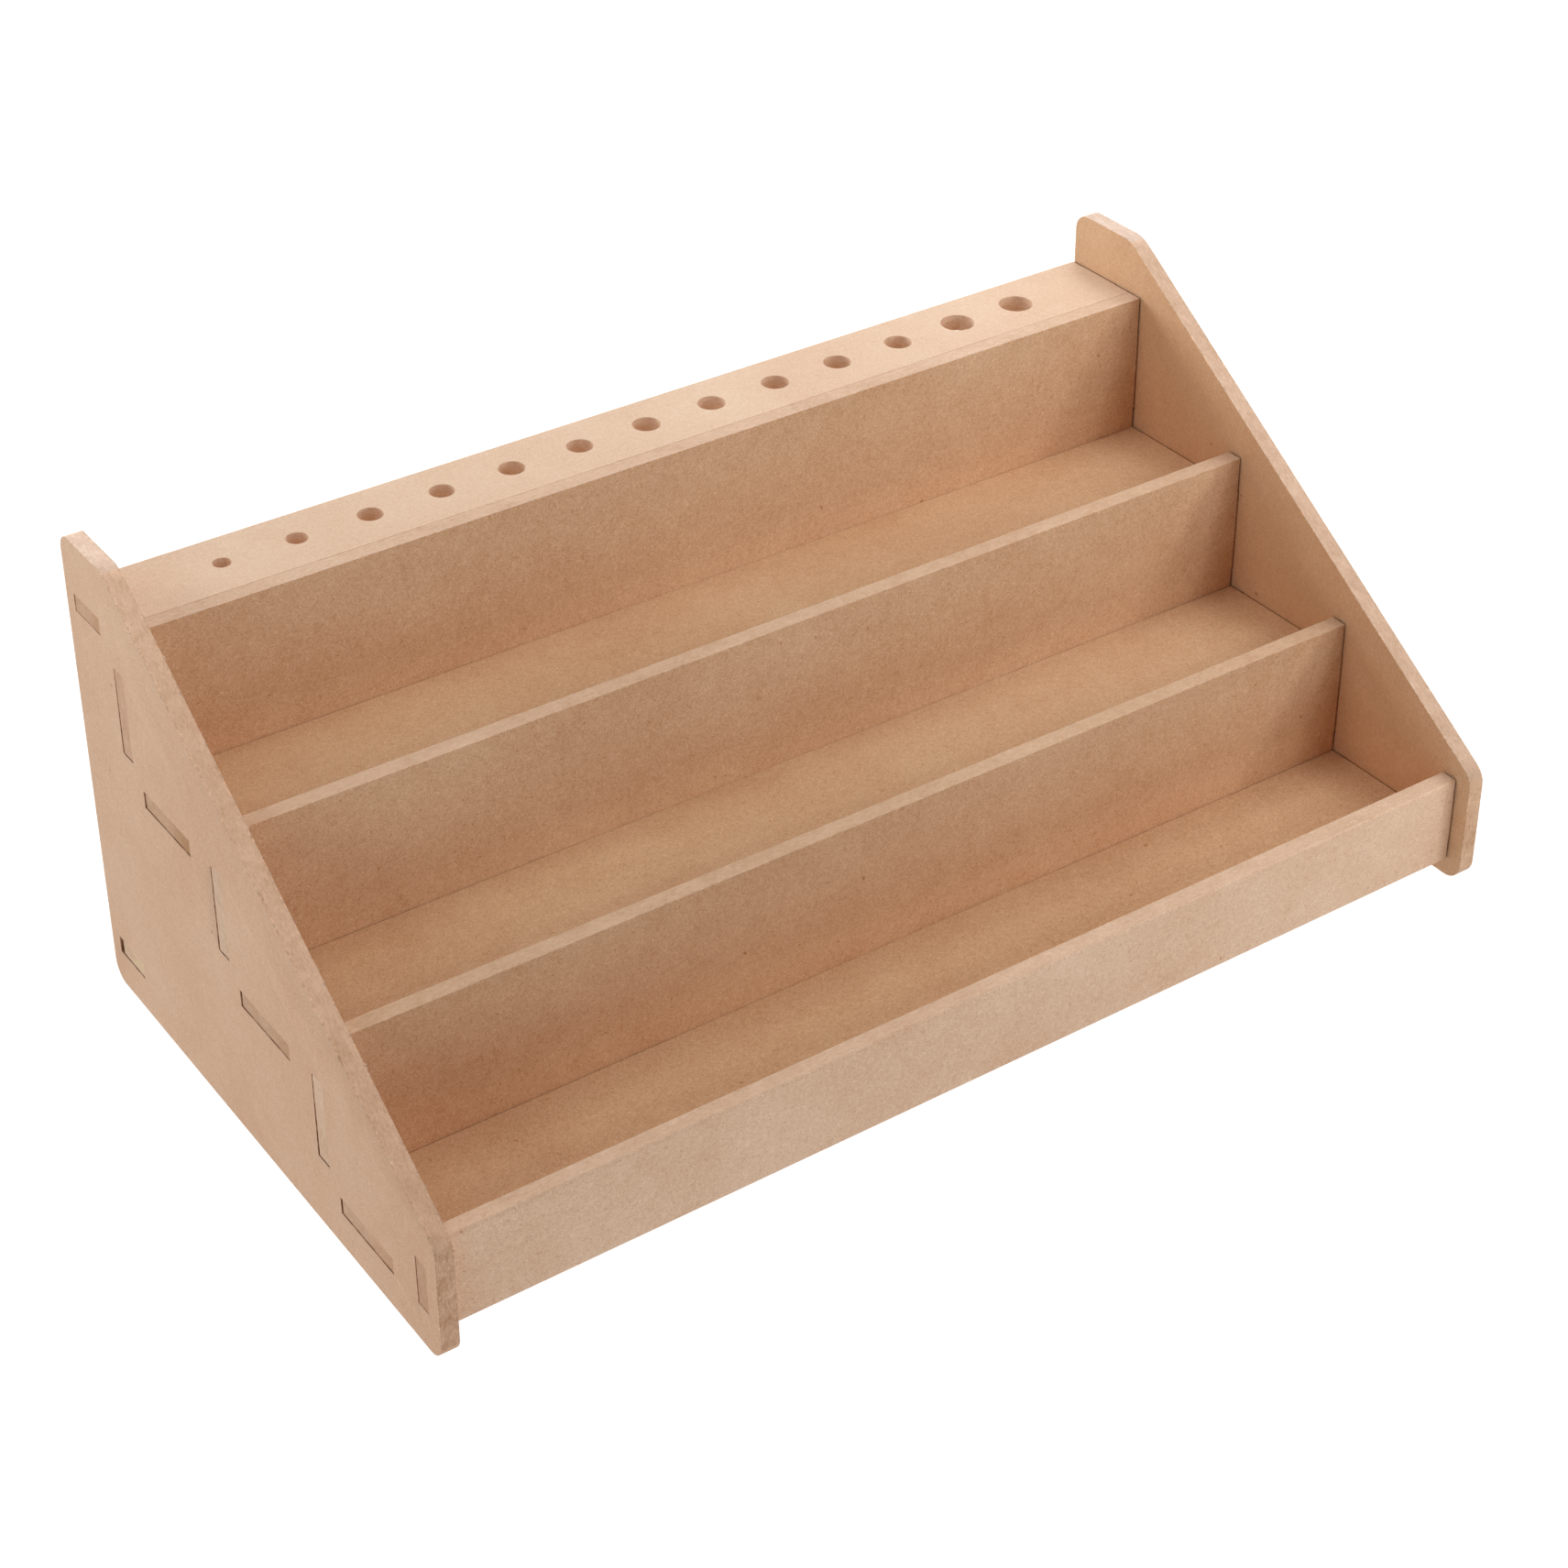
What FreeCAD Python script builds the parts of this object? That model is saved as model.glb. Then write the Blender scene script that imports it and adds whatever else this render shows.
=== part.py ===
import FreeCAD, Part
import os
import Sketcher
from FreeCAD import Vector

# Hobby workstation organizer: a stepped rack of flat 6 mm boards.
# Frame: +X to the right, +Y to the back, +Z up, millimetres.
# Origin: middle of the footprint, on the surface the rack stands on.

doc = FreeCAD.newDocument("organizer")
sheet = doc.addObject("Spreadsheet::Sheet", "Sizes")

SIZES = [
    # overall
    ("width", 400.0),
    ("depth", 214.0),
    ("high", 168.0),
    ("board", 6.0),  # board thickness
    # side panel outline
    ("nose_z", 42.0),  # height where the front edge meets the slope
    ("brow_y", 184.6),  # where the slope meets the level top edge
    ("foot_round", 6.5),
    ("back_round", 6.0),
    ("nose_round", 8.0),
    ("brow_round", 12.0),
    # stepped trays, measured from the front edge of the side panels
    ("lip_y", 6.0),
    ("lip_z", 6.8),
    ("lip_tall", 32.0),
    ("tray_deep", 51.0),  # clear depth of a tray, and of its floor
    ("floor_z", 13.3),  # underside of the lowest floor
    ("step_z", 38.8),  # rise from one tray to the next
    ("riser_tall", 57.6),
    # tool board and rear rail
    ("top_deep", 31.0),
    ("rail_deep", 31.0),
    ("hole_y", 199.0),
    ("hole_x", -155.0),  # centre of the first hole
    ("hole_step", 25.83),
    # tabs and slots
    ("tab_long", 30.6),
    ("tab_short", 17.6),
    ("tab_rail", 15.4),
    ("tab_set", 6.0),  # rear end of a floor tab, ahead of the floor's rear edge
    ("tab_back", 0.8),  # tool board and rail tabs sit this far behind the middle
    ("shoulder", 0.6),  # gap between a board's shoulders and the panels
    ("slot_round", 0.14),  # corners of the floor, riser and rail slots
    ("slot_tight", 0.09),  # corners of the lip and tool board slots, upper front of the risers
    ("slot_loose", 0.7),  # lower rear corner of the riser slots
    # how far the tab ends stop inside the outer face of the panels
    ("shy_floor", 0.3),
    ("shy_riser", 0.06),
    ("shy_lip", 0.22),
    ("shy_top", 0.22),
    ("shy_rail", 0.25),
    # fit of the boards against each other
    ("crown", 0.2),  # a floor's rear edge meets the riser mid-length, less at the ends
    ("top_seam", 0.1),  # the tool board lies this far behind the upper riser
    ("lip_soft", 0.9),  # outer top arris of the front lip
]
# Play between a tab and its slot: in front, behind at the lower and at the upper end,
# under and over. Each tab bears on one side of its slot, where the play is nothing.
GAPS = {
    "floor": (0.15, 0.45, 0.45, 0.15, 0.00),
    "riser": (0.12, 0.85, 0.25, 0.55, 0.00),
    "lip": (0.12, 0.10, 0.14, 0.12, 0.00),
    "top": (0.10, 0.10, 0.10, 0.00, 0.10),
    "rail": (0.30, 2.00, 2.00, 0.30, 0.00),
}
SIDES = ("front", "rear_low", "rear_high", "under", "over")
for kind, gaps in GAPS.items():
    SIZES += [("gap_%s_%s" % (kind, side), gap) for side, gap in zip(SIDES, gaps)]
HOLES = [6.0, 7.2, 8.5, 8.5, 9.0, 9.0, 9.6, 9.6, 9.6, 9.6, 9.6, 12.0, 12.0]
SIZES += [("bore_%02d" % (k + 1), d) for k, d in enumerate(HOLES)]

sheet.set("A1", "size")
sheet.set("B1", "value in mm")
for row, (name, value) in enumerate(SIZES, start=2):
    sheet.set("A%d" % row, name)
    sheet.set("B%d" % row, "%g" % value)
    sheet.setAlias("B%d" % row, name)
doc.recompute()


def plane(body, role):
    for feature in body.Origin.OriginFeatures:
        if feature.Role == role:
            return feature
    raise RuntimeError("no plane " + role)


def new_body(name):
    body = doc.addObject("PartDesign::Body", name)
    body.Label = name
    return body


def new_sketch(body, name, role):
    sketch = body.newObject("Sketcher::SketchObject", name)
    sketch.AttachmentSupport = [(plane(body, role), "")]
    sketch.MapMode = "FlatFace"
    return sketch


def size_now(text):
    """The number a size has now, to draw a sketch near its solved shape.

    A size is a sum of signed terms, and a term is a product or quotient of cells and numbers.
    """
    cells = dict(SIZES)
    total = 0.0
    for term in text.replace("- ", "+ -").split("+ "):
        term = term.strip()
        sign = 1.0
        if term.startswith("-"):
            sign, term = -1.0, term[1:].strip()
        product = 1.0
        for factor in term.replace("/", "* /").split("*"):
            factor = factor.strip()
            divide = factor.startswith("/")
            factor = factor.lstrip("/").strip()
            number = cells[factor] if factor in cells else float(factor)
            product = product / number if divide else product * number
        total += sign * product
    return total


def cell_names(text):
    """The same size written with the sheet's cells, for setExpression."""
    out = []
    for word in text.split(" "):
        out.append("Sizes." + word if word in dict(SIZES) else word)
    return " ".join(out)


def rectangle(sketch, low_u, low_v, wide, tall, tag):
    """A rectangle from its lower left corner; all four sizes follow the sheet."""
    u, v = size_now(low_u), size_now(low_v)
    w, t = size_now(wide), size_now(tall)
    corners = [Vector(u, v, 0), Vector(u + w, v, 0), Vector(u + w, v + t, 0), Vector(u, v + t, 0)]
    n = sketch.GeometryCount
    for k in range(4):
        sketch.addGeometry(Part.LineSegment(corners[k], corners[(k + 1) % 4]), False)
    for k in range(4):
        sketch.addConstraint(Sketcher.Constraint("Coincident", n + k, 2, n + (k + 1) % 4, 1))
    sketch.addConstraint(Sketcher.Constraint("Horizontal", n))
    sketch.addConstraint(Sketcher.Constraint("Horizontal", n + 2))
    sketch.addConstraint(Sketcher.Constraint("Vertical", n + 1))
    sketch.addConstraint(Sketcher.Constraint("Vertical", n + 3))
    for kind, first, second, size, name in (
        ("DistanceX", (-1, 1), (n, 1), low_u, tag + "_u"),
        ("DistanceY", (-1, 1), (n, 1), low_v, tag + "_v"),
        ("DistanceX", (n, 1), (n, 2), wide, tag + "_wide"),
        ("DistanceY", (n + 1, 1), (n + 1, 2), tall, tag + "_tall"),
    ):
        number = size_now(size)
        index = sketch.addConstraint(Sketcher.Constraint(kind, *first, *second, number))
        sketch.renameConstraint(index, name)
        sketch.setExpression("Constraints." + name, cell_names(size))


def polygon(sketch, points, tag):
    """A closed outline whose corners follow the sheet."""
    n = sketch.GeometryCount
    at = [Vector(size_now(a), size_now(b), 0) for a, b in points]
    count = len(points)
    for k in range(count):
        sketch.addGeometry(Part.LineSegment(at[k], at[(k + 1) % count]), False)
    for k in range(count):
        sketch.addConstraint(Sketcher.Constraint("Coincident", n + k, 2, n + (k + 1) % count, 1))
    for k, (a, b) in enumerate(points):
        for kind, size, axis in (("DistanceX", a, "u"), ("DistanceY", b, "v")):
            number = size_now(size)
            if abs(number) < 1e-9:
                target = -2 if axis == "u" else -1
                sketch.addConstraint(Sketcher.Constraint("PointOnObject", n + k, 1, target))
                continue
            name = "%s%d_%s" % (tag, k, axis)
            index = sketch.addConstraint(Sketcher.Constraint(kind, -1, 1, n + k, 1, number))
            sketch.renameConstraint(index, name)
            sketch.setExpression("Constraints." + name, cell_names(size))


def pad(body, sketch, name, length, turned=False):
    feature = body.newObject("PartDesign::Pad", name)
    feature.Profile = sketch
    feature.setExpression("Length", cell_names(length))
    feature.Reversed = turned
    doc.recompute()
    return feature


def cut_through(body, sketch, name):
    """A pocket right through; turned round if it points away from the board."""
    before = body.Shape.Volume
    feature = body.newObject("PartDesign::Pocket", name)
    feature.Profile = sketch
    feature.Type = "ThroughAll"
    doc.recompute()
    if feature.Shape.isNull() or feature.Shape.Volume > before - 1.0:
        feature.Reversed = True
        doc.recompute()
    if feature.Shape.Volume > before - 1.0:
        raise RuntimeError(name + " cuts nothing")
    return feature


def round_edges(body, base, name, radius, chosen):
    """Round the edges of the last feature that `chosen` accepts."""
    edges = ["Edge%d" % (k + 1) for k, edge in enumerate(base.Shape.Edges) if chosen(edge)]
    if not edges:
        raise RuntimeError(name + " found no edges")
    feature = body.newObject("PartDesign::Fillet", name)
    feature.Base = (base, edges)
    feature.setExpression("Radius", cell_names(radius))
    doc.recompute()
    return feature


def across(edge, y, z, slack=0.05):
    """Is this a straight edge through the board at (y, z) of the panel outline?"""
    a, b = edge.Vertexes[0].Point, edge.Vertexes[-1].Point
    return (
        abs(a.y - b.y) < slack
        and abs(a.z - b.z) < slack
        and abs(a.x - b.x) > 1.0
        and abs(a.y - y) < slack
        and abs(a.z - z) < slack
    )


def floor_front(step):
    """Front edge of a tray floor: 0 is the lowest."""
    return "lip_y + board + %d * tray_deep + %d * board" % (step, step)


def riser_front(step):
    return "lip_y + board + %d * tray_deep + %d * board" % (step + 1, step)


# Each slot of a side panel: (name, kind of gap, front of the tab, its run along y,
# its underside, its run along z), from the front edge of the panel and the surface.
SLOTS = []
for step, word in enumerate(("lower", "middle", "upper")):
    SLOTS.append((
        "floor_" + word,
        "floor",
        floor_front(step) + " + tray_deep - tab_set - tab_long",
        "tab_long",
        "floor_z + %d * step_z" % step,
        "board",
    ))
    SLOTS.append((
        "riser_" + word,
        "riser",
        riser_front(step),
        "board",
        "floor_z + %d * step_z + riser_tall / 2 - tab_long / 2" % step,
        "tab_long",
    ))
SLOTS.append((
    "lip",
    "lip",
    "lip_y",
    "board",
    "lip_z + lip_tall / 2 - tab_short / 2",
    "tab_short",
))
SLOTS.append((
    "top",
    "top",
    "depth - top_deep / 2 - tab_short / 2 + tab_back",
    "tab_short",
    "floor_z + 2 * step_z + riser_tall - board",
    "board",
))
SLOTS.append((
    "rail",
    "rail",
    "depth - rail_deep / 2 - tab_short / 2 + tab_back",
    "tab_rail",
    "floor_z",
    "board",
))


def slot_corners(kind, front, deep, under, tall):
    """The four corners of a slot: the tab's outline plus its gaps."""
    gap = {side: "gap_%s_%s" % (kind, side) for side in SIDES}
    y0 = front + " - " + gap["front"]
    low = under + " - " + gap["under"]
    high = under + " + " + tall + " + " + gap["over"]
    rear = front + " + " + deep + " + "
    return [(y0, low), (rear + gap["rear_low"], low), (rear + gap["rear_high"], high), (y0, high)]


def side_panel(name, x_place):
    """Sloped side panel. Drawn in the YZ plane with the front edge at y = 0."""
    body = new_body(name)
    outline = new_sketch(body, name + "_outline", "YZ_Plane")
    polygon(
        outline,
        [("0", "0"), ("depth", "0"), ("depth", "high"), ("brow_y", "high"), ("0", "nose_z")],
        "p",
    )
    doc.recompute()
    plate = pad(body, outline, name + "_plate", "board")
    y1, z1 = size_now("depth"), size_now("high")
    feet = round_edges(body, plate, name + "_feet", "foot_round",
                       lambda e: across(e, 0, 0) or across(e, y1, 0))
    back = round_edges(body, feet, name + "_back", "back_round",
                       lambda e: across(e, y1, z1))
    nose = round_edges(body, back, name + "_nose", "nose_round",
                       lambda e: across(e, 0, size_now("nose_z")))
    brow = round_edges(body, nose, name + "_brow", "brow_round",
                       lambda e: across(e, size_now("brow_y"), z1))
    openings = new_sketch(body, name + "_slot_layout", "YZ_Plane")
    corners = {"round": [], "tight": [], "loose": []}
    for tag, kind, front, deep, under, tall in SLOTS:
        outline = slot_corners(kind, front, deep, under, tall)
        polygon(openings, outline, tag)
        for number, (u, v) in enumerate(outline):
            group = "tight" if kind in ("lip", "top") else "round"
            if kind == "riser" and number in (1, 3):
                group = "loose" if number == 1 else "tight"
            corners[group].append((size_now(u), size_now(v)))
    doc.recompute()
    last = cut_through(body, openings, name + "_slots")
    for group, places in corners.items():
        last = round_edges(body, last, name + "_corners_" + group, "slot_" + group,
                           lambda e: any(across(e, cy, cz) for cy, cz in places))
    body.setExpression("Placement.Base.x", cell_names(x_place))
    body.setExpression("Placement.Base.y", cell_names("0 - depth / 2"))
    return body


def level_board(name, deep, tab_from, tab, shy, y_front, z_under, crowned=False):
    """A level board between the panels with one tab at each end."""
    body = new_body(name)
    outline = new_sketch(body, name + "_outline", "XY_Plane")
    left, right = "0 - width / 2 + board + shoulder", "width / 2 - board - shoulder"
    if crowned:
        ends = deep + " - crown"
        polygon(outline, [(left, "0"), (right, "0"), (right, ends), ("0", deep), (left, ends)],
                "plate")
    else:
        rectangle(outline, left, "0", "width - 2 * board - 2 * shoulder", deep, "plate")
    doc.recompute()
    pad(body, outline, name + "_plate", "board")
    tabs = new_sketch(body, name + "_tab_outline", "XY_Plane")
    rectangle(tabs, "0 - width / 2 + " + shy, tab_from, "width - 2 * " + shy, tab, "tab")
    doc.recompute()
    pad(body, tabs, name + "_tabs", "board")
    body.setExpression("Placement.Base.y", cell_names(y_front + " - depth / 2"))
    body.setExpression("Placement.Base.z", cell_names(z_under))
    return body


def along_top(edge, high, slack=0.05):
    """Is this the long edge at the front and top of an upright board?"""
    ends = [vertex.Point for vertex in edge.Vertexes]
    return len(ends) == 2 and all(
        abs(p.y) < slack and abs(p.z - high) < slack for p in ends) and edge.Length > 100.0


def upright_board(name, tall, tab, shy, y_front, z_under, soft=""):
    """An upright board between the panels with one tab in the middle of each end."""
    body = new_body(name)
    outline = new_sketch(body, name + "_outline", "XZ_Plane")
    rectangle(outline, "0 - width / 2 + board + shoulder", "0",
              "width - 2 * board - 2 * shoulder", tall, "plate")
    doc.recompute()
    # the sketch plane faces -Y, so the board grows the other way, to the back
    plate = pad(body, outline, name + "_plate", "board", turned=True)
    if soft:
        high = size_now(tall)
        round_edges(body, plate, name + "_soft", soft, lambda e: along_top(e, high))
    tabs = new_sketch(body, name + "_tab_outline", "XZ_Plane")
    rectangle(tabs, "0 - width / 2 + " + shy, tall + " / 2 - " + tab + " / 2",
              "width - 2 * " + shy, tab, "tab")
    doc.recompute()
    pad(body, tabs, name + "_tabs", "board", turned=True)
    body.setExpression("Placement.Base.y", cell_names(y_front + " - depth / 2"))
    body.setExpression("Placement.Base.z", cell_names(z_under))
    return body


parts = []
parts.append(side_panel("side_panel_left", "0 - width / 2"))
parts.append(side_panel("side_panel_right", "width / 2 - board"))

for step, word in enumerate(("lower", "middle", "upper")):
    parts.append(level_board(
        "tray_floor_" + word,
        "tray_deep",
        "tray_deep - tab_set - tab_long",
        "tab_long",
        "shy_floor",
        floor_front(step),
        "floor_z + %d * step_z" % step,
        crowned=True,
    ))
    parts.append(upright_board(
        "riser_" + word,
        "riser_tall",
        "tab_long",
        "shy_riser",
        riser_front(step),
        "floor_z + %d * step_z" % step,
    ))

parts.append(upright_board(
    "front_lip", "lip_tall", "tab_short", "shy_lip", "lip_y", "lip_z", soft="lip_soft"))

tool_board = level_board(
    "tool_board",
    "top_deep - top_seam",
    "top_deep / 2 - tab_short / 2 + tab_back - top_seam",
    "tab_short",
    "shy_top",
    "depth - top_deep + top_seam",
    "floor_z + 2 * step_z + riser_tall - board",
)
# thirteen graded round holes, smallest on the left, all on one line
drill = new_sketch(tool_board, "tool_board_hole_layout", "XY_Plane")
line = size_now("hole_y - depth + top_deep - top_seam")
for k in range(len(HOLES)):
    x = size_now("hole_x + %d * hole_step" % k)
    circle = drill.addGeometry(
        Part.Circle(Vector(x, line, 0), Vector(0, 0, 1), HOLES[k] / 2.0), False)
    for kind, where, size, tag in (
        ("DistanceX", x, "hole_x + %d * hole_step" % k, "x"),
        ("DistanceY", line, "hole_y - depth + top_deep - top_seam", "y"),
    ):
        tag = "hole_%02d_%s" % (k + 1, tag)
        if abs(where) < 1e-6:
            drill.addConstraint(Sketcher.Constraint("PointOnObject", circle, 3, -2))
            continue
        index = drill.addConstraint(Sketcher.Constraint(kind, -1, 1, circle, 3, where))
        drill.renameConstraint(index, tag)
        drill.setExpression("Constraints." + tag, cell_names(size))
    index = drill.addConstraint(Sketcher.Constraint("Diameter", circle, HOLES[k]))
    drill.renameConstraint(index, "hole_%02d" % (k + 1))
    drill.setExpression("Constraints.hole_%02d" % (k + 1), "Sizes.bore_%02d" % (k + 1))
doc.recompute()
cut_through(tool_board, drill, "tool_board_holes")
parts.append(tool_board)

# The rail's tab is shorter than its slot, so the slot shows a gap behind it.
parts.append(level_board(
    "rear_rail",
    "rail_deep",
    "rail_deep / 2 - tab_short / 2 + tab_back",
    "tab_rail",
    "shy_rail",
    "depth - rail_deep",
    "floor_z",
))

doc.recompute()

for obj in doc.Objects:
    if "Invalid" in obj.State or "Error" in obj.State:
        raise RuntimeError("%s is %s" % (obj.Name, obj.State))
for body in parts:
    shape = body.Shape
    if shape.isNull() or not shape.isValid() or len(shape.Solids) != 1:
        raise RuntimeError(body.Label + " is not one valid solid")

os.makedirs("parts", exist_ok=True)
for body in parts:
    body.Shape.exportStep("parts/%s.step" % body.Label)
    box = body.Shape.BoundBox
    print("%-18s x %.2f %.2f  y %.2f %.2f  z %.2f %.2f  %.1f cm3" % (
        body.Label, box.XMin, box.XMax, box.YMin, box.YMax, box.ZMin, box.ZMax,
        body.Shape.Volume / 1000))
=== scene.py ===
import math
import random

import bpy
from mathutils import Matrix, Vector


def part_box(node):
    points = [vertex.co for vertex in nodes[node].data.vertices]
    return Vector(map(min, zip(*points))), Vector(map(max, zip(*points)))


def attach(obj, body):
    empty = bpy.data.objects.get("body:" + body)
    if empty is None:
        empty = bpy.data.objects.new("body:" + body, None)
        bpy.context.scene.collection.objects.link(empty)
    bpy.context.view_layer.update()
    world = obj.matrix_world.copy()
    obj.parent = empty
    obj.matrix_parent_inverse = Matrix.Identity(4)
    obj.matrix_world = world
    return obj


# Stepped desk rack of 6 mm fibreboard: two side panels, three tray floors, three risers,
# a front lip, a board with graded tool holes and a rear rail.

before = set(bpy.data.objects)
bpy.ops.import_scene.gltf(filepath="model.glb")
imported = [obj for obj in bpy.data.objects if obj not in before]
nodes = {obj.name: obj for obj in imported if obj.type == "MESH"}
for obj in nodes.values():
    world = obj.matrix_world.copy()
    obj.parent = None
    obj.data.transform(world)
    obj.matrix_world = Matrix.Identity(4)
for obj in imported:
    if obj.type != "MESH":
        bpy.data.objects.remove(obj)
scene = bpy.context.scene
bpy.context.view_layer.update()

BOARD = 0.006

# ---------------------------------------------------------------- small helpers


def new_material(name):
    material = bpy.data.materials.new(name)
    material.use_nodes = True
    material.node_tree.nodes.clear()
    return material


class Graph:
    """Short calls that add and wire shader nodes."""

    def __init__(self, tree):
        self.tree = tree

    def put(self, socket, value):
        if isinstance(value, bpy.types.NodeSocket):
            self.tree.links.new(value, socket)
        elif value is not None:
            socket.default_value = value

    def make(self, kind, **settings):
        made = self.tree.nodes.new(kind)
        for key, value in settings.items():
            setattr(made, key, value)
        return made

    def math(self, operation, a, b=None, c=None, clamp=False):
        made = self.make("ShaderNodeMath", operation=operation, use_clamp=clamp)
        for k, value in enumerate((a, b, c)):
            self.put(made.inputs[k], value)
        return made.outputs[0]

    def vector(self, operation, a, b=None, scale=None):
        made = self.make("ShaderNodeVectorMath", operation=operation)
        self.put(made.inputs[0], a)
        if b is not None:
            self.put(made.inputs[1], b)
        if scale is not None:
            self.put(made.inputs["Scale"], scale)
        out = "Value" if operation in ("DOT_PRODUCT", "LENGTH", "DISTANCE") else "Vector"
        return made.outputs[out]

    def noise(self, where, scale, detail=2.0, rough=0.5, bend=0.0, out="Fac"):
        made = self.make("ShaderNodeTexNoise")
        self.put(made.inputs["Vector"], where)
        made.inputs["Scale"].default_value = scale
        made.inputs["Detail"].default_value = detail
        made.inputs["Roughness"].default_value = rough
        made.inputs["Distortion"].default_value = bend
        return made.outputs[out]

    def cells(self, where, scale, out="Distance"):
        made = self.make("ShaderNodeTexVoronoi")
        self.put(made.inputs["Vector"], where)
        made.inputs["Scale"].default_value = scale
        return made.outputs[out]

    def ramp(self, value, low, high, to_low=0.0, to_high=1.0, smooth=True):
        made = self.make("ShaderNodeMapRange", clamp=True)
        made.interpolation_type = "SMOOTHSTEP" if smooth else "LINEAR"
        self.put(made.inputs["Value"], value)
        made.inputs["From Min"].default_value = low
        made.inputs["From Max"].default_value = high
        made.inputs["To Min"].default_value = to_low
        made.inputs["To Max"].default_value = to_high
        return made.outputs["Result"]

    def blend(self, factor, a, b):
        made = self.make("ShaderNodeMix", data_type="RGBA", blend_type="MIX")
        self.put(made.inputs["Factor"], factor)
        self.put(made.inputs["A"], a)
        self.put(made.inputs["B"], b)
        return made.outputs["Result"]

    def tint(self, colour, amount):
        """colour times a grey amount"""
        made = self.make("ShaderNodeVectorMath", operation="SCALE")
        self.put(made.inputs[0], colour)
        self.put(made.inputs["Scale"], amount)
        return made.outputs["Vector"]


def rgba(colour, gain=1.0):
    return (colour[0] * gain, colour[1] * gain, colour[2] * gain, 1.0)


# ---------------------------------------------------------------- fibreboard

# Sanded face, routed edge: base colours of the board.
FACE = (0.70, 0.47, 0.30)
EDGE = (0.66, 0.45, 0.31)
# Darker fibre is also more orange, paler fibre more grey; on the faces, then on the edges.
DARK_FIBRE, PALE_FIBRE = (0.89, 0.80, 0.74), (1.11, 1.20, 1.26)
DARK_CUT, PALE_CUT = (0.885, 0.83, 0.78), (1.115, 1.17, 1.22)

SLOPE = (0.5638, 0.8260)  # the panels' slope: how far inside it a point (y, z) lies, in mm


def scaled(colour, gain):
    return tuple(c * k for c, k in zip(colour, gain))


def rim_of_panel(g, y, z):
    """Distance in mm from the outline of a side panel, rounded off in its corners."""
    slope = g.math("SUBTRACT",
                   g.math("MULTIPLY", g.math("ADD", y, 107.0), SLOPE[0]),
                   g.math("MULTIPLY", g.math("SUBTRACT", z, 42.0), SLOPE[1]))
    front = g.math("ADD", y, 107.0)
    high = g.math("SUBTRACT", 168.0, z)
    rear = g.math("SUBTRACT", 107.0, y)
    low = g.math("MINIMUM", g.math("MINIMUM", z, rear), high)
    return g.math("MINIMUM", g.math("SMOOTH_MIN", slope, front, 6.0), low)


def inside_box(g, y, z, box, soft=0.04):
    """1 inside the box (y low, y high, z low, z high) in mm, 0 outside it."""
    y_low, y_high, z_low, z_high = box
    off_y = g.math("ABSOLUTE", g.math("SUBTRACT", y, (y_low + y_high) / 2))
    off_z = g.math("ABSOLUTE", g.math("SUBTRACT", z, (z_low + z_high) / 2))
    over = g.math("MAXIMUM", g.math("SUBTRACT", off_y, (y_high - y_low) / 2),
                  g.math("SUBTRACT", off_z, (z_high - z_low) / 2))
    return g.ramp(over, -soft, soft, 1.0, 0.0)


# where the boards' shoulders stand against a side panel; there the panel gets painted shade
FOOTPRINTS = [(-101.0, -95.0, 6.8, 37.9), (76.1, 107.0, 142.5, 148.5), (76.0, 107.0, 13.3, 19.3)]
for step in range(3):
    FOOTPRINTS.append((-44.0 + 57.0 * step, -38.0 + 57.0 * step,
                       13.3 + 38.8 * step, 70.9 + 38.8 * step))
    FOOTPRINTS.append((-95.0 + 57.0 * step, -43.9 + 57.0 * step,
                       13.3 + 38.8 * step, 19.3 + 38.8 * step))


def rim_of_plate(g, parts, axis, middle, half):
    """Distance in mm from the nearest long arris of a flat board, on its faces."""
    away = []
    for k in range(3):
        if k != axis:
            off = g.math("ABSOLUTE", g.math("SUBTRACT", parts[k], middle[k]))
            away.append(g.math("SUBTRACT", half[k], off))
    return g.math("MINIMUM", away[0], away[1])


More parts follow.
